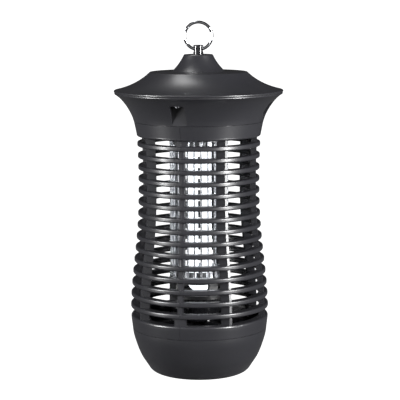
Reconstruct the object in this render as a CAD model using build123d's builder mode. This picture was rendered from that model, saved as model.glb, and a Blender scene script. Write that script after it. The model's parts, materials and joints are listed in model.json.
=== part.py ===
"""Electric bug zapper: a hanging lantern with a guarded high-voltage grid around a UV lamp.

Millimetres, +Z up. The origin is the centre of the foot. The two halves of the guard meet in
the YZ plane, with -Y the front, and each half is drawn from its mould along X.
"""

import os
from math import cos, pi, radians, sin, sqrt

from build123d import *

os.makedirs("parts", exist_ok=True)

# Driving dimensions ---------------------------------------------------------------------

WALL = 2.4                # wall of every moulding
QUARTERS = 4              # the housing repeats every 90 degrees

# Heights of the joints between the mouldings, from the foot up
TRAY_TOP = 47.8
GUARD_BOTTOM = 48.2
BASE_LIP_TOP = 62.3
TOP_LIP_BOTTOM = 252.8
GUARD_TOP = 268.2
SPIGOT_RIM = 274.0        # the guard's spigot ends here, inside the collar
COLLAR_BOTTOM = 268.6
COLLAR_TOP = 298.6
ROOF_BOTTOM = 299.0
TIER_TOP = 320.9
FINIAL_TOP = 338.0

# Radii of the silhouette
FOOT_R = 46.5
TRAY_R = 71.7
WAIST_R = 64.05
BELLY_R = 73.45
WAIST_Z = 207.8
BELLY_Z = 66.0
SEAM_R = 68.4
BRIM_R = 89.0

# Guard rings and bars
RING_COUNT = 15
RING_PITCH = 12.3
TOP_RING_Z = 244.8
RING_DEPTH = 9.5
RING_THICK = 5.0
BAR_SETBACK = 2.0         # rings stand proud of the bars by this much
BAR_DEPTH = 5.8
BAR_THICK = 1.8
BAR_ANGLE = 45.0          # the side bars keep this angle from the mid-plane as the belly swells
SEAM_BAR_THICK = 2.5
SEAM_GAP = 0.1            # half of the parting gap between the guard's halves
FOOT_WIDTH = 5.8          # the seam bars widen to this at both ends

# Hanger
HANGER_ANGLE = 16.5       # the hanging ring as it is stored, about Z from +X
RING_WIRE_R = 1.6
RING_MEAN_R = 14.3
RING_CENTRE_Z = 357.2
RING_PIVOT_Z = RING_CENTRE_Z - RING_MEAN_R
POST_R = 5.3
POST_TOP = 347.8
STEM_R = 4.0
RUNNING = 0.05            # radial running clearance

# Electric grid and lamp
WIRE_COUNT = 26
WIRE_R = 1.0
GRID_R = 30.0
UPPER_PLATE_Z = 250.0
LOWER_PLATE_Z = 103.6
PLATE_THICK = 1.2
FLANGE_DEPTH = 6.0
NOTCH_R = 3.0
TUBE_R = 6.0
TUBE_SPACING = 15.0
LAMP_TIP_Z = 84.5
GLASS_TOP_Z = 282.0
CAP_TOP_Z = 299.0

# Deck inside the collar
DECK_Z = 267.4
DECK_THICK = 2.5
DECK_TOP = DECK_Z + DECK_THICK
DECK_R = 63.2
BODY_SCREW_R = 59.0       # screw circle that ties guard, deck and collar together
ROOF_SCREW_R = 74.0       # screw circle in the collar's four pockets
SCREW_R = 1.5
PILOT_R = 1.25

# Collar pockets
POCKET_WIDTH = 16.0
POCKET_TOP = 289.5
POCKET_WALL_R = 68.2

# Twist-off tray
THREAD_LEAD = 30.0
RIB_TURN = 30.0           # degrees that each thread rib spans
SPIGOT_R = 66.8
SPIGOT_TOP = 55.5
BAND_BORE_R = 69.5

SPIDER_Z = 52.6
SPIDER_TOP = 57.4
SPIDER_SCREW_R = 61.5

# Grid carriers and the lamp's lower rest
WIRE_STEP = 360 / WIRE_COUNT
INSULATOR_Z = UPPER_PLATE_Z + PLATE_THICK
CARRIER_SCREW_R = 28.0
CUP_R = 20.5
CUP_Z = 75.4
CUP_TOP = 88.4

# Electronics on the deck
COLUMN_Y = 18.0
COLUMN_TOP = 296.0
BOARD_Z = 276.0
BOARD_HOLES = [(28, -17), (28, 17), (54, -17), (54, 17)]
BALLAST_X = -42.0
BRACKET_SCREW_Y = 19.0
TERMINAL_X = -10.0
TERMINAL_Y = 46.0
LEAD_HOLE = (24.0, -8.0)

# Cable gland, at the rear, between a pocket and a screw boss
GLAND_ANGLE = 112.5
GLAND_Z = 284.5
GLAND_BORE_R = 3.75
GLAND_THREAD_R = 5.95
GLAND_FLATS = 15.0        # across the flats of the gland's hexagon and its locknut
GLAND_PAD_R = 11.5
GLAND_FACE_R = 9.3        # flat seat sunk into the pad
GLAND_PAD_IN = 67.0       # the collar's wall is a flat pad here, between these distances
GLAND_PAD_OUT = 78.0


def guard_radius(z):
    """Outer radius of the guard's rings at height z: a slim waist over a fuller belly."""
    if z > WAIST_Z:
        return WAIST_R + 0.85 * ((z - WAIST_Z) / 37) ** 2
    drop = (WAIST_Z - z) / (WAIST_Z - BELLY_Z)
    return WAIST_R + (BELLY_R - WAIST_R) * (1 - cos(pi * drop**1.25)) / 2


def section(inner, outer, low, high):
    """A plain rectangular section, drawn in radius and height, to be revolved."""
    with Locations(((inner + outer) / 2, (low + high) / 2)):
        Rectangle(outer - inner, high - low)


def polar(radius, angle, z=0.0):
    """The point at this radius and angle in degrees, at height z."""
    return (radius * cos(radians(angle)), radius * sin(radians(angle)), z)


def hex_length(across_flats):
    """Corner radius of a hexagon of this size across its flats."""
    return across_flats / sqrt(3)


# Hanger ---------------------------------------------------------------------------------


def hanger_plane(z):
    """The upright plane of the hanging ring, with its origin on the lantern's axis at height z."""
    return Plane(origin=(0, 0, z), x_dir=polar(1, HANGER_ANGLE), z_dir=polar(1, HANGER_ANGLE - 90))


with BuildPart() as hanging_ring:
    with Locations(hanger_plane(RING_CENTRE_Z).location):
        Torus(RING_MEAN_R, RING_WIRE_R)
hanging_ring.part.label = "hanging_ring"

# The post's eye is an hourglass that follows the ring's curve, so the ring can swing.
eye_r = RING_WIRE_R + 0.2
eye_half = POST_R + 0.5
mouth_r = eye_r + RING_MEAN_R - sqrt(RING_MEAN_R**2 - eye_half**2) + 0.3

with BuildPart() as post_eye:
    with BuildSketch(hanger_plane(RING_PIVOT_Z)):
        with BuildLine():
            Polyline((-eye_half, mouth_r), (-eye_half, 0), (eye_half, 0), (eye_half, mouth_r))
            ThreePointArc((eye_half, mouth_r), (0, eye_r), (-eye_half, mouth_r))
        make_face()
    revolve(axis=Axis((0, 0, RING_PIVOT_Z), polar(1, HANGER_ANGLE)))

with BuildPart() as hanger_post:
    with BuildSketch(Plane.XZ):
        section(0, POST_R, FINIAL_TOP + 0.2, POST_TOP)
        section(0, STEM_R, 327.0, FINIAL_TOP + 0.2)
    revolve(axis=Axis.Z)
    fillet(hanger_post.edges().filter_by(GeomType.CIRCLE).sort_by(Axis.Z)[-1], 1.2)
    add(post_eye.part, mode=Mode.SUBTRACT)
hanger_post.part.label = "hanger_post"

with BuildPart() as hanger_washer:
    with BuildSketch(Plane.XZ):
        section(STEM_R + 0.1, 8.5, 333.1, 334.3)
    revolve(axis=Axis.Z)
hanger_washer.part.label = "hanger_washer"

with BuildPart() as hanger_nut:
    with BuildSketch(Plane.XY.offset(328.6)):
        RegularPolygon(hex_length(13), 6)
        Circle(STEM_R, mode=Mode.SUBTRACT)
    extrude(amount=4.5)
hanger_nut.part.label = "hanger_nut"


# Roof -----------------------------------------------------------------------------------

with BuildPart() as roof_cover:
    with BuildSketch(Plane.XZ):
        with BuildLine():
            bore = STEM_R + RUNNING
            Polyline((bore, FINIAL_TOP - 3.4), (bore, FINIAL_TOP), (14.7, FINIAL_TOP))
            Line((14.7, FINIAL_TOP), (15.4, FINIAL_TOP - 0.6))
            ThreePointArc((15.4, FINIAL_TOP - 0.6), (19.6, 330.0), (27.5, TIER_TOP))
            Polyline((27.5, TIER_TOP), (51.2, 319.8), (51.9, 319.2))
            Spline((51.9, 319.2), (62.2, 311.3), (74.5, 305.2), (88.0, 301.1))
            ThreePointArc((88.0, 301.1), (BRIM_R - 0.1, 300.5), (BRIM_R, 299.8))
            Polyline((BRIM_R, 299.8), (88.6, ROOF_BOTTOM), (84.5, ROOF_BOTTOM))
            Spline((84.5, ROOF_BOTTOM), (73.2, 302.9), (61.0, 308.8), (50.6, 317.0))
            Polyline((50.6, 317.0), (26.0, 318.3))
            ThreePointArc((26.0, 318.3), (17.4, 328.4), (12.9, FINIAL_TOP - 3.4))
            Line((12.9, FINIAL_TOP - 3.4), (bore, FINIAL_TOP - 3.4))
        make_face()
    revolve(axis=Axis.Z)
    with PolarLocations(ROOF_SCREW_R, QUARTERS):
        with Locations((0, 0, POCKET_TOP + WALL + 0.2)):
            Cylinder(4.0, 10.5, align=(Align.CENTER, Align.CENTER, Align.MIN))
            Cylinder(PILOT_R, 9.5, align=(Align.CENTER, Align.CENTER, Align.MIN), mode=Mode.SUBTRACT)
roof_cover.part.label = "roof_cover"

with BuildPart() as brim_gasket:
    with BuildSketch(Plane.XZ):
        section(84.8, 87.6, COLLAR_TOP, ROOF_BOTTOM)
    revolve(axis=Axis.Z)
brim_gasket.part.label = "brim_gasket"


# Collar ---------------------------------------------------------------------------------

gland_axis = Plane(origin=(0, 0, GLAND_Z), z_dir=polar(1, GLAND_ANGLE))

# The hollow of the collar: everything inside its wall except pockets, bosses, ribs and pad.
with BuildPart() as collar_hollow:
    with BuildSketch(Plane.XZ):
        with BuildLine():
            Polyline((0, COLLAR_BOTTOM), (SEAM_R - WALL, COLLAR_BOTTOM), (SEAM_R - WALL, 271.4))
            Spline((SEAM_R - WALL, 271.4), (70.4, 280.6), (76.0, 289.6), (84.0, 297.2))
            Polyline((84.0, 297.2), (84.0, COLLAR_TOP), (0, COLLAR_TOP), (0, COLLAR_BOTTOM))
        make_face()
    revolve(axis=Axis.Z)
    with PolarLocations(POCKET_WALL_R - WALL, QUARTERS):
        with Locations((0, 0, COLLAR_BOTTOM)):
            Box(
                30, POCKET_WIDTH + 2 * WALL, POCKET_TOP + WALL - COLLAR_BOTTOM,
                align=(Align.MIN, Align.CENTER, Align.MIN), mode=Mode.SUBTRACT,
            )
    with PolarLocations(BODY_SCREW_R, QUARTERS, start_angle=45):
        with Locations((0, 0, DECK_TOP)):
            Cylinder(3.6, 12, align=(Align.CENTER, Align.CENTER, Align.MIN), mode=Mode.SUBTRACT)
        with Locations((0, 0, SPIGOT_RIM + 0.4)):
            Box(30, WALL, 7, align=(Align.MIN, Align.CENTER, Align.MIN), mode=Mode.SUBTRACT)
    with BuildSketch(gland_axis.offset(GLAND_PAD_IN)):
        Circle(GLAND_PAD_R)
    extrude(amount=15, mode=Mode.SUBTRACT)

with BuildPart() as pocket:
    with BuildSketch(Plane.YZ.offset(POCKET_WALL_R)) as pocket_mouth:
        with Locations((0, COLLAR_BOTTOM - 1)):
            Rectangle(POCKET_WIDTH, POCKET_TOP - COLLAR_BOTTOM + 1, align=(Align.CENTER, Align.MIN))
        fillet(pocket_mouth.vertices().group_by(Axis.Y)[-1], 2.5)
    extrude(amount=30)

with BuildPart() as collar:
    with BuildSketch(Plane.XZ):
        with BuildLine():
            Line((0, COLLAR_BOTTOM), (SEAM_R, COLLAR_BOTTOM))
            Spline(
                (SEAM_R, COLLAR_BOTTOM), (70.9, 275.6), (75.6, 284.1), (82.0, 292.2), (87.7, 296.9),
                tangents=((0.25, 1), (1, 0.62)),
            )
            ThreePointArc((87.7, 296.9), (88.4, 297.6), (88.1, COLLAR_TOP))
            Polyline((88.1, COLLAR_TOP), (0, COLLAR_TOP), (0, COLLAR_BOTTOM))
        make_face()
    revolve(axis=Axis.Z)
    with BuildSketch(gland_axis.offset(GLAND_PAD_IN)):
        Circle(GLAND_PAD_R)
    extrude(amount=GLAND_PAD_OUT - GLAND_PAD_IN)
    add(collar_hollow.part, mode=Mode.SUBTRACT)
    with PolarLocations(0, QUARTERS):
        add(pocket.part, mode=Mode.SUBTRACT)
    with PolarLocations(ROOF_SCREW_R, QUARTERS):
        with Locations((0, 0, POCKET_TOP - 1)):
            Cylinder(SCREW_R + 0.1, 6, align=(Align.CENTER, Align.CENTER, Align.MIN), mode=Mode.SUBTRACT)
    with PolarLocations(BODY_SCREW_R, QUARTERS, start_angle=45):
        with Locations((0, 0, DECK_TOP - 1)):
            Cylinder(PILOT_R, 11, align=(Align.CENTER, Align.CENTER, Align.MIN), mode=Mode.SUBTRACT)
    with BuildSketch(gland_axis.offset(GLAND_PAD_IN - 1)):
        Circle(GLAND_THREAD_R + 0.1)
    extrude(amount=20, mode=Mode.SUBTRACT)
    with BuildSketch(gland_axis.offset(GLAND_PAD_OUT)):
        Circle(GLAND_FACE_R)
    extrude(amount=15, mode=Mode.SUBTRACT)
collar.part.label = "collar"


def screw(x, y, head_z, length, head_r=2.8, head_h=1.8, up=True):
    """Pan-head screw whose head bears at head_z, its shank running up (or down) from there."""
    way = 1 if up else -1
    with Locations((x, y, head_z)):
        Cylinder(head_r, head_h, align=(Align.CENTER, Align.CENTER, Align.MAX if up else Align.MIN))
        Cylinder(PILOT_R, length, align=(Align.CENTER, Align.CENTER, Align.MIN if up else Align.MAX))
    with Locations((x, y, head_z - way * head_h)):
        Box(3.2, 0.7, 1.4, mode=Mode.SUBTRACT)
        Box(0.7, 3.2, 1.4, mode=Mode.SUBTRACT)


with BuildPart() as roof_screws:
    for quarter in range(QUARTERS):
        screw(*polar(ROOF_SCREW_R, 90 * quarter)[:2], POCKET_TOP, 11.5)
roof_screws.part.label = "roof_screws"

GUARD_FLANGE_Z = DECK_Z - 2.8
with BuildPart() as body_screws:
    for quarter in range(QUARTERS):
        screw(*polar(BODY_SCREW_R, 45 + 90 * quarter)[:2], GUARD_FLANGE_Z, 15)
body_screws.part.label = "body_screws"


# Guard ----------------------------------------------------------------------------------

# The wall that the upright bars are cut from, between the two lips.
bar_heights = [BASE_LIP_TOP - 1 + step * (TOP_LIP_BOTTOM + 2 - BASE_LIP_TOP) / 10 for step in range(11)]
with BuildPart() as bar_wall:
    with BuildSketch(Plane.XZ):
        with BuildLine():
            outer = [(guard_radius(z) - BAR_SETBACK, z) for z in bar_heights]
            inner = [(radius - BAR_DEPTH, z) for radius, z in outer]
            Spline(*outer)
            Spline(*inner)
            Line(outer[0], inner[0])
            Line(outer[-1], inner[-1])
        make_face()
    revolve(axis=Axis.Z)

# Each side bar is a flat rib along X, so the mould draws off it, and it bows out with the belly.
with BuildPart() as side_bars:
    add(bar_wall.part)
    with BuildSketch(Plane.YZ):
        with Locations((0, 160)):
            Rectangle(BAR_THICK, 240)
        for side in (-1, 1):
            with BuildLine():
                middle = [(side * guard_radius(z) * sin(radians(BAR_ANGLE)), z) for z in bar_heights]
                near = [(y - BAR_THICK / 2, z) for y, z in middle]
                far = [(y + BAR_THICK / 2, z) for y, z in middle]
                Spline(*near)
                Spline(*far)
                Line(near[0], far[0])
                Line(near[-1], far[-1])
            make_face()
    extrude(amount=80, mode=Mode.INTERSECT)

with BuildPart() as seam_bars:
    add(bar_wall.part)
    with BuildSketch(Plane.XY.offset(50)):
        Rectangle(SEAM_GAP + SEAM_BAR_THICK, 160, align=(Align.MIN, Align.CENTER))
    extrude(amount=220, mode=Mode.INTERSECT)

with BuildPart() as bar_feet:
    add(bar_wall.part)
    with BuildSketch(Plane.XY.offset(50)):
        Rectangle(SEAM_GAP + FOOT_WIDTH, 160, align=(Align.MIN, Align.CENTER))
    extrude(amount=220, mode=Mode.INTERSECT)
    with BuildSketch(Plane.XY.offset(TOP_RING_Z - (RING_COUNT - 1) * RING_PITCH)):
        Rectangle(200, 200)
    extrude(amount=(RING_COUNT - 1) * RING_PITCH, mode=Mode.SUBTRACT)


def thread_rib(mean_radius, width, start_z):
    """A short rib of the tray's thread, centred on +X, with the thread's lead."""
    with BuildPart() as rib:
        with BuildLine():
            path = Helix(THREAD_LEAD, THREAD_LEAD * RIB_TURN / 360, mean_radius, center=(0, 0, start_z))
        with BuildSketch(Plane(origin=path @ 0, x_dir=(1, 0, 0), z_dir=path % 0)):
            Rectangle(width, 1.6)
        sweep(is_frenet=True)
    return rib.part.rotate(Axis.Z, -RIB_TURN / 2)


band_rib = thread_rib(BAND_BORE_R - 0.95, 2.5, 50.0)
tray_rib = thread_rib(SPIGOT_R + 1.05, 2.7, 52.1)

with BuildPart() as guard_rings:
    with BuildSketch(Plane.XZ):
        for ring in range(RING_COUNT):
            ring_z = TOP_RING_Z - ring * RING_PITCH
            with Locations((guard_radius(ring_z) - RING_DEPTH / 2, ring_z)):
                RectangleRounded(RING_DEPTH, RING_THICK, 1.5)
    revolve(axis=Axis.Z)
    split(bisect_by=Plane.YZ.offset(SEAM_GAP), keep=Keep.TOP)

with BuildPart() as cage_half_right:
    with BuildSketch(Plane.XZ):
        with BuildLine():
            Polyline((56.0, GUARD_FLANGE_Z), (65.2, GUARD_FLANGE_Z), (63.2, 255.4), (55.4, 255.4))
            Polyline((55.4, 255.4), (55.4, TOP_LIP_BOTTOM), (63.0, TOP_LIP_BOTTOM))
            ThreePointArc((63.0, TOP_LIP_BOTTOM), (64.9, 253.5), (65.5, 255.2))
            Spline((65.5, 255.2), (66.6, 260.8), (68.2, GUARD_TOP))
            Polyline((68.2, GUARD_TOP), (65.7, GUARD_TOP), (65.7, SPIGOT_RIM), (63.5, SPIGOT_RIM))
            Polyline((63.5, SPIGOT_RIM), (63.5, DECK_Z), (56.0, DECK_Z), (56.0, GUARD_FLANGE_Z))
        make_face()
        with BuildLine():
            Polyline((TRAY_R + 0.05, GUARD_BOTTOM), (72.9, 57.5), (73.1, 60.2))
            ThreePointArc((73.1, 60.2), (72.5, 61.7), (71.0, BASE_LIP_TOP))
            Polyline((71.0, BASE_LIP_TOP), (63.6, BASE_LIP_TOP), (63.6, 59.9), (BAND_BORE_R + 0.3, 59.9))
            Polyline((BAND_BORE_R + 0.3, 59.9), (BAND_BORE_R, 56.0), (BAND_BORE_R, 48.7), (70.5, 48.7))
            Polyline((70.5, 48.7), (70.5, GUARD_BOTTOM), (TRAY_R + 0.05, GUARD_BOTTOM))
        make_face()
    revolve(axis=Axis.Z)
    split(bisect_by=Plane.YZ.offset(SEAM_GAP), keep=Keep.TOP)
    add(seam_bars.part)
    add(side_bars.part)
    add(bar_feet.part)
    add(guard_rings.part)
    for side in (-45, 45):
        with Locations(polar(SPIDER_SCREW_R, side, SPIDER_TOP)):
            Cylinder(3.2, BASE_LIP_TOP - SPIDER_TOP, align=(Align.CENTER, Align.CENTER, Align.MIN))
            Cylinder(PILOT_R, 4.0, align=(Align.CENTER, Align.CENTER, Align.MIN), mode=Mode.SUBTRACT)
        with Locations(polar(BODY_SCREW_R, side, GUARD_FLANGE_Z)):
            Cylinder(SCREW_R + 0.1, 4, align=(Align.CENTER, Align.CENTER, Align.MIN), mode=Mode.SUBTRACT)
        add(band_rib, rotation=(0, 0, side))
cage_half_right.part.label = "cage_half_right"

# The other half is the same moulding turned half a turn, so that its thread runs the same way.
with BuildPart() as cage_half_left:
    add(cage_half_right.part, rotation=(0, 0, 180))
cage_half_left.part.label = "cage_half_left"


# Deck, grid carriers and electric grid --------------------------------------------------

with BuildPart() as deck:
    with BuildSketch(Plane.XY.offset(DECK_Z)):
        Circle(DECK_R)
        RectangleRounded(36, 19, 6, mode=Mode.SUBTRACT)
    extrude(amount=DECK_THICK)
    with Locations((0, COLUMN_Y, DECK_TOP), (0, -COLUMN_Y, DECK_TOP)):
        Cylinder(4.5, COLUMN_TOP - DECK_TOP, align=(Align.CENTER, Align.CENTER, Align.MIN))
    with Locations((0, COLUMN_Y, COLUMN_TOP - 9), (0, -COLUMN_Y, COLUMN_TOP - 9)):
        Cylinder(PILOT_R, 9, align=(Align.CENTER, Align.CENTER, Align.MIN), mode=Mode.SUBTRACT)
    for x, y in BOARD_HOLES:
        with Locations((x, y, DECK_TOP)):
            Cylinder(2.6, BOARD_Z - DECK_TOP, align=(Align.CENTER, Align.CENTER, Align.MIN))
            Cylinder(PILOT_R, 6.2, align=(Align.CENTER, Align.CENTER, Align.MIN), mode=Mode.SUBTRACT)
    for radius in (BODY_SCREW_R, CARRIER_SCREW_R):
        with PolarLocations(radius, QUARTERS, start_angle=45):
            with Locations((0, 0, DECK_Z)):
                Cylinder(SCREW_R + 0.1, 3, align=(Align.CENTER, Align.CENTER, Align.MIN), mode=Mode.SUBTRACT)
    for y in (-BRACKET_SCREW_Y, BRACKET_SCREW_Y):
        with Locations((BALLAST_X, y, DECK_Z)):
            Cylinder(PILOT_R, 3, align=(Align.CENTER, Align.CENTER, Align.MIN), mode=Mode.SUBTRACT)
    with Locations((*LEAD_HOLE, DECK_Z)):
        Cylinder(1.6, 3, align=(Align.CENTER, Align.CENTER, Align.MIN), mode=Mode.SUBTRACT)
deck.part.label = "deck"

with BuildPart() as upper_insulator:
    with BuildSketch(Plane.XZ):
        section(22.5, 33.5, INSULATOR_Z, 259.0)
        section(31.6, 33.5, INSULATOR_Z - 2.2, INSULATOR_Z)
    revolve(axis=Axis.Z)
    with PolarLocations(CARRIER_SCREW_R, 4, start_angle=45):
        with Locations((0, 0, 255)):
            Cylinder(3.3, DECK_Z - 255, align=(Align.CENTER, Align.CENTER, Align.MIN))
            Cylinder(
                PILOT_R, DECK_Z - 255,
                align=(Align.CENTER, Align.CENTER, Align.MIN), mode=Mode.SUBTRACT,
            )
    with PolarLocations(GRID_R, WIRE_COUNT // 2, start_angle=WIRE_STEP):
        with Locations((0, 0, INSULATOR_Z)):
            Cylinder(WIRE_R + 0.05, 8, align=(Align.CENTER, Align.CENTER, Align.MIN), mode=Mode.SUBTRACT)
    with Locations((*LEAD_HOLE, INSULATOR_Z)):
        Cylinder(1.5, 8, align=(Align.CENTER, Align.CENTER, Align.MIN), mode=Mode.SUBTRACT)
upper_insulator.part.label = "upper_insulator"


def electrode_plate(low, flange_low, first_notch):
    """Stamped plate with an inner flange, notched where the other polarity's wires pass."""
    with BuildPart() as plate:
        with BuildSketch(Plane.XZ):
            section(22.6, 31.4, low, low + PLATE_THICK)
            section(27.9, GRID_R - WIRE_R - 0.05, flange_low, flange_low + FLANGE_DEPTH)
        revolve(axis=Axis.Z)
        with PolarLocations(GRID_R + 0.6, WIRE_COUNT // 2, start_angle=first_notch):
            with Locations((0, 0, low)):
                Cylinder(NOTCH_R, 4 * FLANGE_DEPTH, mode=Mode.SUBTRACT)
    return plate.part


def wire_set(first_angle, low, high):
    """Every second wire of the grid, from low to high."""
    with BuildPart() as wires:
        with PolarLocations(GRID_R, WIRE_COUNT // 2, start_angle=first_angle):
            with Locations((0, 0, low)):
                Cylinder(WIRE_R, high - low, align=(Align.CENTER, Align.CENTER, Align.MIN))
    return wires.part


with BuildPart() as upper_electrode:
    add(electrode_plate(UPPER_PLATE_Z, UPPER_PLATE_Z - FLANGE_DEPTH, WIRE_STEP))
upper_electrode.part.label = "upper_electrode"

with BuildPart() as lower_electrode:
    add(electrode_plate(LOWER_PLATE_Z, LOWER_PLATE_Z + PLATE_THICK, 0))
lower_electrode.part.label = "lower_electrode"

with BuildPart() as upper_wires:
    add(wire_set(0, LOWER_PLATE_Z - 4, UPPER_PLATE_Z))
upper_wires.part.label = "upper_wires"

with BuildPart() as lower_wires:
    add(wire_set(WIRE_STEP, LOWER_PLATE_Z + PLATE_THICK, INSULATOR_Z + 6))
lower_wires.part.label = "lower_wires"

with BuildPart() as lower_insulator:
    with BuildSketch(Plane.XZ):
        section(24.5, 31.3, 98.0, LOWER_PLATE_Z)
        section(27.5, 31.3, 82.0, 86.0)
        section(CUP_R + 0.1, CUP_R + 2.3, 82.0, 86.0)
    revolve(axis=Axis.Z)
    with PolarLocations(29.4, 4, start_angle=45):
        with Locations((0, 0, 84)):
            Box(3.6, 10, 15, align=(Align.CENTER, Align.CENTER, Align.MIN))
    with PolarLocations(25, 4, start_angle=45):
        with Locations((0, 0, 82)):
            Box(7, 5, 4, align=(Align.CENTER, Align.CENTER, Align.MIN))
    with PolarLocations(GRID_R, WIRE_COUNT // 2):
        with Locations((0, 0, LOWER_PLATE_Z - 4.2)):
            Cylinder(WIRE_R + 0.05, 8, align=(Align.CENTER, Align.CENTER, Align.MIN), mode=Mode.SUBTRACT)
lower_insulator.part.label = "lower_insulator"


# Base -----------------------------------------------------------------------------------

with BuildPart() as lamp_cup:
    with BuildSketch(Plane.XZ):
        with BuildLine():
            Polyline((0, 70.5), (12.5, 70.5), (12.5, CUP_Z), (CUP_R, CUP_Z), (CUP_R, CUP_TOP))
            Polyline((CUP_R, CUP_TOP), (CUP_R - 2, CUP_TOP), (CUP_R - 2, CUP_Z + WALL), (10.1, CUP_Z + WALL))
            Polyline((10.1, CUP_Z + WALL), (10.1, 73.0), (0, 73.0), (0, 70.5))
        make_face()
    revolve(axis=Axis.Z)
    fillet(lamp_cup.edges().filter_by(GeomType.CIRCLE).group_by(Axis.Z)[-1], 0.8)
lamp_cup.part.label = "lamp_cup"

with BuildPart() as lamp_cushion:
    with BuildSketch(Plane.XZ):
        section(15.2, CUP_R - 2.1, CUP_Z + 2.4, CUP_TOP - 2)
        section(9.0, 15.3, CUP_Z + 2.4, CUP_Z + 4.4)
    revolve(axis=Axis.Z)
lamp_cushion.part.label = "lamp_cushion"

with BuildPart() as base_spider:
    with BuildSketch(Plane.XZ):
        section(12.55, 15.0, SPIDER_Z, CUP_Z)
        section(0, 15.0, SPIDER_Z, SPIDER_Z + WALL)
        section(15.0, CUP_R, CUP_Z - WALL, CUP_Z)
        section(CUP_R - 2, CUP_R, SPIDER_TOP - 1, CUP_Z)
    revolve(axis=Axis.Z)
    with BuildSketch(Plane.XY.offset(SPIDER_Z)) as arms:
        with PolarLocations(13, 4, start_angle=45):
            Rectangle(50.9, 7, align=(Align.MIN, Align.CENTER))
        fillet(arms.vertices().group_by(SortBy.DISTANCE)[-1], 2)
    extrude(amount=SPIDER_TOP - SPIDER_Z)
    with PolarLocations(SPIDER_SCREW_R, 4, start_angle=45):
        with Locations((0, 0, SPIDER_Z)):
            Cylinder(SCREW_R + 0.1, 6, align=(Align.CENTER, Align.CENTER, Align.MIN), mode=Mode.SUBTRACT)
base_spider.part.label = "base_spider"

with BuildPart() as spider_screws:
    for quarter in range(QUARTERS):
        screw(*polar(SPIDER_SCREW_R, 45 + 90 * quarter)[:2], SPIDER_Z, 8.4, head_r=2.3)
spider_screws.part.label = "spider_screws"

with BuildPart() as tray:
    with BuildSketch(Plane.XZ):
        with BuildLine():
            Line((0, 0), (FOOT_R, 0))
            ThreePointArc((FOOT_R, 0), (51.1, 1.6), (54.6, 5.2))
            Spline(
                (54.6, 5.2), (61.9, 16.6), (68.4, 32.6), (TRAY_R, TRAY_TOP),
                tangents=((0.6, 1), (0.06, 1)),
            )
            Polyline((TRAY_R, TRAY_TOP), (SPIGOT_R, TRAY_TOP), (SPIGOT_R, SPIGOT_TOP))
            Polyline((SPIGOT_R, SPIGOT_TOP), (SPIGOT_R - WALL, SPIGOT_TOP), (SPIGOT_R - WALL, 44.0))
            Spline((SPIGOT_R - WALL, 44.0), (65.3, 30.0), (59.0, 16.6), (53.0, 7.2))
            ThreePointArc((53.0, 7.2), (50.0, 3.9), (45.9, WALL))
            Polyline((45.9, WALL), (0, WALL), (0, 0))
        make_face()
    revolve(axis=Axis.Z)
    for quarter in range(QUARTERS):
        add(tray_rib, rotation=(0, 0, 45 + 90 * quarter))
tray.part.label = "tray"

with BuildPart() as tray_seal:
    with BuildSketch(Plane.XZ):
        section(SPIGOT_R + 0.3, 70.2, TRAY_TOP + 0.05, 48.6)
    revolve(axis=Axis.Z)
tray_seal.part.label = "tray_seal"


# Lamp -----------------------------------------------------------------------------------

bend_z = LAMP_TIP_Z + TUBE_R + TUBE_SPACING / 2
with BuildPart() as lamp_tubes:
    with BuildLine() as tube_path:
        half = TUBE_SPACING / 2
        Line((-half, 0, GLASS_TOP_Z), (-half, 0, bend_z))
        ThreePointArc((-half, 0, bend_z), (0, 0, bend_z - half), (half, 0, bend_z))
        Line((half, 0, bend_z), (half, 0, GLASS_TOP_Z))
    with BuildSketch(Plane(origin=(-half, 0, GLASS_TOP_Z), z_dir=(0, 0, -1))):
        Circle(TUBE_R)
        Circle(TUBE_R - 0.9, mode=Mode.SUBTRACT)
    sweep()
lamp_tubes.part.label = "lamp_tubes"

with BuildPart() as lamp_cap:
    with BuildSketch(Plane.XY.offset(GLASS_TOP_Z)):
        RectangleRounded(31, 15, 7)
    extrude(amount=CAP_TOP_Z - GLASS_TOP_Z)
lamp_cap.part.label = "lamp_cap"

with BuildPart() as lamp_pins:
    with Locations((-5, 0, CAP_TOP_Z), (5, 0, CAP_TOP_Z)):
        Cylinder(1.15, 7, align=(Align.CENTER, Align.CENTER, Align.MIN))
lamp_pins.part.label = "lamp_pins"

with BuildPart() as lamp_holder:
    with Locations((0, 0, CAP_TOP_Z + 0.2)):
        Box(40, 26, 12, align=(Align.CENTER, Align.CENTER, Align.MIN))
    for side in (-1, 1):
        with Locations((0, side * 10.5, COLUMN_TOP)):
            Box(40, 5, 4, align=(Align.CENTER, Align.CENTER, Align.MIN))
        with Locations((0, side * COLUMN_Y, COLUMN_TOP)):
            Box(10, 10, 3, align=(Align.CENTER, Align.CENTER, Align.MIN))
            Cylinder(SCREW_R + 0.1, 4, align=(Align.CENTER, Align.CENTER, Align.MIN), mode=Mode.SUBTRACT)
    with Locations((-5, 0, CAP_TOP_Z), (5, 0, CAP_TOP_Z)):
        Cylinder(1.3, 8, align=(Align.CENTER, Align.CENTER, Align.MIN), mode=Mode.SUBTRACT)
lamp_holder.part.label = "lamp_holder"

with BuildPart() as holder_screws:
    for y in (-COLUMN_Y, COLUMN_Y):
        screw(0, y, COLUMN_TOP + 3, 10, up=False)
holder_screws.part.label = "holder_screws"

with BuildPart() as carrier_screws:
    for quarter in range(QUARTERS):
        screw(*polar(CARRIER_SCREW_R, 45 + 90 * quarter)[:2], DECK_TOP, 11, up=False)
carrier_screws.part.label = "carrier_screws"


# Electronics ----------------------------------------------------------------------------

with BuildPart() as circuit_board:
    with BuildSketch(Plane.XY.offset(BOARD_Z)):
        with Locations((41, 0)):
            RectangleRounded(32, 40, 1.5)
        with Locations(*BOARD_HOLES):
            Circle(SCREW_R + 0.1, mode=Mode.SUBTRACT)
    extrude(amount=1.6)
circuit_board.part.label = "circuit_board"

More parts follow.
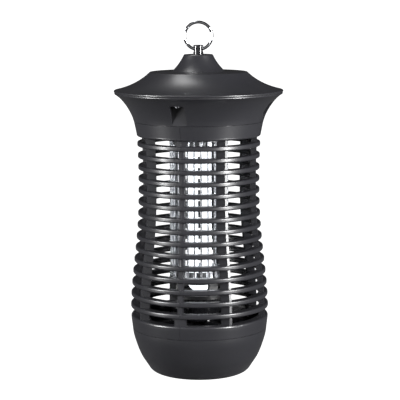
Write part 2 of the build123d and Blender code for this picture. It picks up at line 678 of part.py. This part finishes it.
BOARD_TOP = BOARD_Z + 1.6
with BuildPart() as board_capacitors:
    for y in (-12, -4, 4, 12):
        with Locations((47, y, BOARD_TOP)):
            Box(12, 5, 10, align=(Align.CENTER, Align.CENTER, Align.MIN))
    with Locations((34, 10, BOARD_TOP)):
        Cylinder(4, 13, align=(Align.CENTER, Align.CENTER, Align.MIN))
board_capacitors.part.label = "board_capacitors"

with BuildPart() as board_diodes:
    for y in (-13, -9, -5, -1):
        with Locations((34, y, BOARD_TOP + 1.4)):
            Cylinder(1.4, 6, rotation=(0, 90, 0))
board_diodes.part.label = "board_diodes"

with BuildPart() as board_screws:
    for x, y in BOARD_HOLES:
        screw(x, y, BOARD_TOP, 7, head_r=2.2, up=False)
board_screws.part.label = "board_screws"

with BuildPart() as ballast_bracket:
    with BuildSketch(Plane.XY.offset(DECK_TOP)):
        with Locations((BALLAST_X, 0)):
            RectangleRounded(20, 2 * BRACKET_SCREW_Y + 9, 3)
        with Locations((BALLAST_X, BRACKET_SCREW_Y), (BALLAST_X, -BRACKET_SCREW_Y)):
            Circle(SCREW_R + 0.1, mode=Mode.SUBTRACT)
    extrude(amount=1.5)
ballast_bracket.part.label = "ballast_bracket"

CORE_Z = DECK_TOP + 1.5
with BuildPart() as ballast_core:
    with BuildSketch(Plane.XZ.offset(-8)):
        with Locations((BALLAST_X, CORE_Z + 14)):
            Rectangle(34, 28)
        with Locations((BALLAST_X - 8.5, CORE_Z + 14), (BALLAST_X + 8.5, CORE_Z + 14)):
            Rectangle(6, 16, mode=Mode.SUBTRACT)
    extrude(amount=16)
ballast_core.part.label = "ballast_core"

with BuildPart() as ballast_coil:
    with BuildSketch(Plane.XY.offset(CORE_Z + 6.3)):
        with Locations((BALLAST_X, 0)):
            RectangleRounded(22.6, 28, 3)
            Rectangle(11.2, 16.2, mode=Mode.SUBTRACT)
    extrude(amount=15.4)
ballast_coil.part.label = "ballast_coil"

with BuildPart() as ballast_screws:
    for y in (-BRACKET_SCREW_Y, BRACKET_SCREW_Y):
        screw(BALLAST_X, y, CORE_Z, 4, up=False)
ballast_screws.part.label = "ballast_screws"

with BuildPart() as terminal_block:
    with Locations((TERMINAL_X, TERMINAL_Y, DECK_TOP)):
        Box(20, 12, 12, align=(Align.CENTER, Align.CENTER, Align.MIN))
    fillet(terminal_block.edges().filter_by(Axis.Z), 1.2)
    for x in (TERMINAL_X - 5, TERMINAL_X + 5):
        with Locations((x, TERMINAL_Y, DECK_TOP + 12)):
            Cylinder(2.2, 8, mode=Mode.SUBTRACT)
        with Locations((x, TERMINAL_Y, DECK_TOP + 5)):
            Cylinder(1.4, 14, rotation=(90, 0, 0), mode=Mode.SUBTRACT)
terminal_block.part.label = "terminal_block"


def lead(route, wire_r, bend):
    """An insulated lead along straight runs joined by tangent bends."""
    with BuildPart() as tube:
        with BuildLine():
            path = FilletPolyline(*route, radius=bend)
        with BuildSketch(Plane(origin=path @ 0, z_dir=path % 0)):
            Circle(wire_r)
        sweep()
    return tube.part


with BuildPart() as lamp_leads:
    add(lead([(-12, 13.1, 306), (-12, 24, 306), (-20, 36, 290), (-15, 36, 275), (-15, 40, 275)], 1.0, 3))
    add(lead([(20.1, -4, 306), (30, -4, 306), (30, -10, 296), (34, -17, 296), (34, -17, 279)], 1.0, 3))
lamp_leads.part.label = "lamp_leads"

with BuildPart() as hv_leads:
    over_hole = (*LEAD_HOLE, 271.6)
    in_carrier = (*LEAD_HOLE, INSULATOR_Z + 0.2)
    route = [(41, -16, 279), (41, -28, 279), (36, -34, 274), (24, -28, 271.6), over_hole, in_carrier]
    add(lead(route, 1.2, 1.6))
hv_leads.part.label = "hv_leads"


# Cable gland ----------------------------------------------------------------------------

with BuildPart() as gland_body:
    with BuildSketch(gland_axis.offset(GLAND_PAD_IN - 5)):
        Circle(GLAND_THREAD_R)
    extrude(amount=GLAND_PAD_OUT - GLAND_PAD_IN + 5)
    with BuildSketch(gland_axis.offset(GLAND_PAD_OUT)):
        RegularPolygon(hex_length(GLAND_FLATS), 6)
    extrude(amount=4)
    with BuildSketch(gland_axis.offset(GLAND_PAD_IN - 5)):
        Circle(GLAND_BORE_R)
    extrude(amount=30, mode=Mode.SUBTRACT)
gland_body.part.label = "gland_body"

with BuildPart() as gland_cap:
    with BuildSketch(gland_axis.offset(GLAND_PAD_OUT + 4)):
        Circle(7.4)
    extrude(amount=4.5, taper=18)
    with BuildSketch(gland_axis.offset(GLAND_PAD_OUT + 4)):
        Circle(GLAND_BORE_R)
    extrude(amount=4.5, mode=Mode.SUBTRACT)
gland_cap.part.label = "gland_cap"

with BuildPart() as gland_locknut:
    with BuildSketch(gland_axis.offset(GLAND_PAD_IN - 4)):
        RegularPolygon(hex_length(GLAND_FLATS), 6)
        Circle(GLAND_THREAD_R, mode=Mode.SUBTRACT)
    extrude(amount=4)
gland_locknut.part.label = "gland_locknut"


# Files ----------------------------------------------------------------------------------

pieces = [
    hanging_ring, hanger_post, hanger_washer, hanger_nut, roof_cover, brim_gasket, collar,
    roof_screws, body_screws, cage_half_left, cage_half_right, deck, upper_insulator,
    upper_electrode, lower_electrode, upper_wires, lower_wires, lower_insulator, lamp_cup,
    lamp_cushion, base_spider, spider_screws, tray, tray_seal, lamp_tubes, lamp_cap, lamp_pins,
    lamp_holder, holder_screws, carrier_screws, circuit_board, board_capacitors, board_diodes,
    board_screws, ballast_bracket, ballast_core, ballast_coil, ballast_screws, terminal_block,
    lamp_leads, hv_leads, gland_body, gland_cap, gland_locknut,
]
for piece in pieces:
    export_step(piece.part, f"parts/{piece.part.label}.step")
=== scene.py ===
import json
import math

import bpy
from mathutils import Matrix, Vector

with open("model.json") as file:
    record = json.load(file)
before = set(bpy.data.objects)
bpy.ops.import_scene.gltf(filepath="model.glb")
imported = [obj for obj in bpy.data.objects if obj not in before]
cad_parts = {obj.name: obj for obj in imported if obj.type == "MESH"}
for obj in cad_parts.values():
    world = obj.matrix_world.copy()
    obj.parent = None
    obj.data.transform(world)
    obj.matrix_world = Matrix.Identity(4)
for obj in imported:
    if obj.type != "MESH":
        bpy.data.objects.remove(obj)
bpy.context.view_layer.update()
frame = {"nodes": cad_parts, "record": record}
nodes = frame["nodes"]

# The camera stands in front and a little to the right, slightly above the lantern's middle.
CAMERA_AZIMUTH = math.radians(16.5)
CAMERA_ACROSS = 0.001
CAMERA_DISTANCE = 1.560
CAMERA_HEIGHT = 0.412
CAMERA_PITCH = math.radians(8.32)
CAMERA_ROLL = math.radians(0.27)
CAMERA_LENS = 133.65
CAMERA_SENSOR = 36.0
CAMERA_REACH = 50.0

# The floor and the world are white where they are seen directly, and dim in what they light.
WORLD_DIM = 0.02
FLOOR_DIM = 0.10
SWEEP_WHITE = 1.2
FLOOR_SIZE = 2.4
FLOOR_TOP = -0.0005
BODY_MIDDLE = (0.0, 0.0, 0.18)
ROOF = (0.0, 0.0, 0.3)

# How strongly the moulded grain shows, and how brightly the lamp burns.
GRAIN_STRENGTH = 0.35
LAMP_GLOW = 1.15


# Materials ------------------------------------------------------------------------------

def new_material(name):
    """A node material, its node tree and its Principled shader."""
    material = bpy.data.materials.new(name)
    material.use_nodes = True
    tree = material.node_tree
    return material, tree, tree.nodes["Principled BSDF"]


def object_noise(tree, scale, detail=3.0, stretch=(1.0, 1.0, 1.0)):
    """Noise on the piece's own coordinates, stretched along an axis for drawn or brushed metal."""
    place = tree.nodes.new("ShaderNodeTexCoord")
    turn = tree.nodes.new("ShaderNodeMapping")
    turn.inputs["Scale"].default_value = stretch
    noise = tree.nodes.new("ShaderNodeTexNoise")
    noise.inputs["Scale"].default_value = scale
    noise.inputs["Detail"].default_value = detail
    tree.links.new(place.outputs["Object"], turn.inputs["Vector"])
    tree.links.new(turn.outputs["Vector"], noise.inputs["Vector"])
    return noise.outputs["Fac"]


def between_numbers(tree, value, low, high):
    """Maps a 0 to 1 value onto the range low to high."""
    mix = tree.nodes.new("ShaderNodeMix")
    mix.inputs[2].default_value = low
    mix.inputs[3].default_value = high
    tree.links.new(value, mix.inputs[0])
    return mix.outputs[0]


def between_colours(tree, value, low, high):
    """Maps a 0 to 1 value onto the colours from low to high."""
    mix = tree.nodes.new("ShaderNodeMix")
    mix.data_type = "RGBA"
    mix.inputs[6].default_value = (*low, 1.0)
    mix.inputs[7].default_value = (*high, 1.0)
    tree.links.new(value, mix.inputs[0])
    return mix.outputs[2]


def add_bump(tree, shader, value, strength, distance):
    """Relief from a value, in metres of height."""
    bump = tree.nodes.new("ShaderNodeBump")
    bump.inputs["Strength"].default_value = strength
    bump.inputs["Distance"].default_value = distance
    tree.links.new(value, bump.inputs["Height"])
    tree.links.new(bump.outputs["Normal"], shader.inputs["Normal"])


def moulded_plastic(name, dark, light, rough_low, rough_high, grain=1400.0, relief=0.00004):
    """Injection-moulded plastic: a fine spark grain over slow changes of shade and polish."""
    material, tree, shader = new_material(name)
    patches = object_noise(tree, scale=22.0, detail=4.0)
    spark_grain = object_noise(tree, scale=grain, detail=2.0)
    tree.links.new(between_colours(tree, patches, dark, light), shader.inputs["Base Color"])
    tree.links.new(between_numbers(tree, patches, rough_low, rough_high), shader.inputs["Roughness"])
    shader.inputs["Specular IOR Level"].default_value = 0.5
    add_bump(tree, shader, spark_grain, GRAIN_STRENGTH, relief)
    return material


def bright_metal(name, dark, light, rough_low, rough_high, stretch=(1.0, 1.0, 0.05), scale=900.0):
    """Plated or drawn metal: shade and polish vary, in streaks where the stretch is uneven."""
    material, tree, shader = new_material(name)
    streaks = object_noise(tree, scale, stretch=stretch)
    tree.links.new(between_colours(tree, streaks, dark, light), shader.inputs["Base Color"])
    tree.links.new(between_numbers(tree, streaks, rough_low, rough_high), shader.inputs["Roughness"])
    shader.inputs["Metallic"].default_value = 1.0
    return material


def lit_tube(name):
    """A phosphor-coated glass tube with its lamp on."""
    material, tree, shader = new_material(name)
    clouds = object_noise(tree, scale=60.0, detail=2.0)
    coating = between_colours(tree, clouds, (0.9, 0.95, 1.0), (1.0, 1.0, 1.0))
    glow = between_colours(tree, clouds, (0.86, 0.93, 1.0), (0.94, 0.97, 1.0))
    tree.links.new(coating, shader.inputs["Base Color"])
    tree.links.new(glow, shader.inputs["Emission Color"])
    shader.inputs["Emission Strength"].default_value = LAMP_GLOW
    shader.inputs["Roughness"].default_value = 0.12
    return material


# The black mouldings, from satin to polished, and the rubber.
housing_black = moulded_plastic(
    "housing_black", (0.010, 0.010, 0.012), (0.014, 0.014, 0.016), 0.30, 0.36)
inner_black = moulded_plastic(
    "inner_black", (0.006, 0.006, 0.007), (0.010, 0.010, 0.011), 0.32, 0.42)
gloss_black = moulded_plastic(
    "gloss_black", (0.005, 0.005, 0.006), (0.008, 0.008, 0.009), 0.10, 0.16, relief=0.00001)
black_rubber = moulded_plastic(
    "black_rubber", (0.008, 0.008, 0.008), (0.014, 0.014, 0.014), 0.6, 0.75)

# Plated, drawn and laminated metals.
EVEN = (1.0, 1.0, 1.0)
chrome = bright_metal(
    "chrome", (0.40, 0.41, 0.43), (0.48, 0.49, 0.51), 0.06, 0.10, EVEN, 60.0)
zinc = bright_metal(
    "zinc", (0.45, 0.45, 0.47), (0.58, 0.58, 0.60), 0.28, 0.4, EVEN, 400.0)
# A darker copy of zinc, as painted shade for the screws inside the shaded roof pockets.
painted_shade_zinc = bright_metal(
    "painted_shade_zinc", (0.05, 0.05, 0.055), (0.09, 0.09, 0.095), 0.4, 0.5, EVEN, 400.0)
grid_steel = bright_metal(
    "grid_steel", (0.30, 0.31, 0.33), (0.36, 0.37, 0.39), 0.34, 0.42, (1.0, 1.0, 0.02), 300.0)
core_steel = bright_metal(
    "core_steel", (0.06, 0.06, 0.07), (0.12, 0.12, 0.13), 0.45, 0.6, (0.05, 1.0, 0.05))
brass = bright_metal("brass", (0.6, 0.44, 0.18), (0.74, 0.56, 0.26), 0.2, 0.3)

# The lamp, and the electrical pieces inside the collar.
lamp_glow = lit_tube("lamp_glow")
lamp_white = moulded_plastic(
    "lamp_white", (0.72, 0.72, 0.7), (0.8, 0.8, 0.78), 0.3, 0.4)
board_green = moulded_plastic(
    "board_green", (0.01, 0.12, 0.05), (0.02, 0.17, 0.08), 0.25, 0.35, grain=500.0)
film_red = moulded_plastic(
    "film_red", (0.3, 0.05, 0.02), (0.42, 0.09, 0.04), 0.25, 0.35, grain=300.0)
winding = moulded_plastic(
    "winding", (0.35, 0.12, 0.04), (0.5, 0.2, 0.07), 0.35, 0.45, grain=700.0)
lead_black = moulded_plastic(
    "lead_black", (0.02, 0.02, 0.02), (0.03, 0.03, 0.03), 0.4, 0.5)
lead_red = moulded_plastic(
    "lead_red", (0.35, 0.02, 0.015), (0.45, 0.03, 0.02), 0.4, 0.5)

slot_materials = {
    "housing_black": housing_black, "inner_black": inner_black, "black_gloss": gloss_black,
    "black_rubber": black_rubber, "chrome": chrome, "zinc_steel": zinc, "grid_steel": grid_steel,
    "core_steel": core_steel, "brass": brass, "lamp_glass": lamp_glow, "lamp_white": lamp_white,
    "board_green": board_green, "capacitor_red": film_red, "copper_coil": winding,
    "lead_insulation": lead_black, "lead_red": lead_red,
}

node_materials = {
    row["node"]: slot_materials[row["material_slot"]] for row in frame["record"]["subparts"]
}
# The roof screws' zinc is given a darker shade than the other screws': painted shade for the screws
# set up in the shaded pockets, to keep the pockets quiet.
node_materials["roof_screws"] = painted_shade_zinc
for name, node in nodes.items():
    for place in node.material_slots:
        place.material = node_materials[name]


# Stage ----------------------------------------------------------------------------------

def white_when_seen(tree, socket, dim):
    """White where it is seen directly, and dim in what it lights and in reflections."""
    path = tree.nodes.new("ShaderNodeLightPath")
    level = tree.nodes.new("ShaderNodeMapRange")
    level.inputs["To Min"].default_value = dim
    level.inputs["To Max"].default_value = SWEEP_WHITE
    tree.links.new(path.outputs["Is Camera Ray"], level.inputs["Value"])
    tree.links.new(level.outputs["Result"], socket)


def seen_from_camera(right, back, up):
    """A point given across, away from and above the lantern's foot, as the camera sees it."""
    across = Vector((math.cos(CAMERA_AZIMUTH), math.sin(CAMERA_AZIMUTH), 0.0))
    away = Vector((-math.sin(CAMERA_AZIMUTH), math.cos(CAMERA_AZIMUTH), 0.0))
    return across * right + away * back + Vector((0.0, 0.0, up))


def soft_box(name, place, aim, size, power):
    """A soft box at place, facing aim, that lights the lantern and leaves the floor alone."""
    light = bpy.data.lights.new(name, "AREA")
    light.shape = "RECTANGLE"
    light.size, light.size_y = size
    light.energy = power
    holder = bpy.data.objects.new(name, light)
    bpy.context.scene.collection.objects.link(holder)
    holder.location = place
    holder.rotation_euler = (Vector(aim) - Vector(place)).to_track_quat("-Z", "Y").to_euler()
    holder.light_linking.receiver_collection = not_floor


bpy.ops.object.select_all(action="DESELECT")
bpy.ops.mesh.primitive_plane_add(size=FLOOR_SIZE, location=(0.0, 0.0, FLOOR_TOP))
floor = bpy.context.active_object
floor.name = "floor"
floor_material, floor_tree, floor_shader = new_material("pale_floor")
floor_shader.inputs["Base Color"].default_value = (0.5, 0.5, 0.5, 1.0)
floor_shader.inputs["Roughness"].default_value = 0.95
floor_shader.inputs["Specular IOR Level"].default_value = 0.0
floor_shader.inputs["Emission Color"].default_value = (1.0, 1.0, 1.0, 1.0)
white_when_seen(floor_tree, floor_shader.inputs["Emission Strength"], FLOOR_DIM)
floor.data.materials.append(floor_material)

world = bpy.data.worlds.new("studio")
bpy.context.scene.world = world
world.use_nodes = True
background = world.node_tree.nodes["Background"]
background.inputs["Color"].default_value = (1.0, 1.0, 1.0, 1.0)
white_when_seen(world.node_tree, background.inputs["Strength"], WORLD_DIM)

# The lights reach everything but the floor.
not_floor = bpy.data.collections.new("not_floor")
not_floor.objects.link(floor)
not_floor.collection_objects[0].light_linking.link_state = "EXCLUDE"

# Each row is a name, a place (right, back, up), an aim, a width and height, and a power in watts.
soft_boxes = (
    ("left_strip", (-1.11, -0.45, 0.48), BODY_MIDDLE, (0.24, 0.95), 44.0),
    ("right_strip", (0.97, -0.71, 0.48), BODY_MIDDLE, (0.20, 0.95), 62.0),
    ("front_panel", (-0.3, -2.2, 0.75), BODY_MIDDLE, (1.6, 1.4), 4.0),
    ("top_box", (-0.27, 0.22, 1.34), ROOF, (0.5, 0.3), 4.5),
)
for name, place, aim, size, power in soft_boxes:
    soft_box(name, seen_from_camera(*place), aim, size, power)

camera = bpy.data.cameras.new("camera")
camera.lens = CAMERA_LENS
camera.sensor_width = CAMERA_SENSOR
camera.clip_end = CAMERA_REACH
camera_holder = bpy.data.objects.new("camera", camera)
bpy.context.scene.collection.objects.link(camera_holder)
camera_holder.location = seen_from_camera(CAMERA_ACROSS, -CAMERA_DISTANCE, CAMERA_HEIGHT)
camera_holder.rotation_mode = "QUATERNION"
camera_holder.rotation_quaternion = (
    Matrix.Rotation(CAMERA_AZIMUTH, 4, "Z")
    @ Matrix.Rotation(math.radians(90.0) - CAMERA_PITCH, 4, "X")
    @ Matrix.Rotation(-CAMERA_ROLL, 4, "Z")
).to_quaternion()
bpy.context.scene.camera = camera_holder
bpy.context.scene.view_settings.view_transform = "Standard"
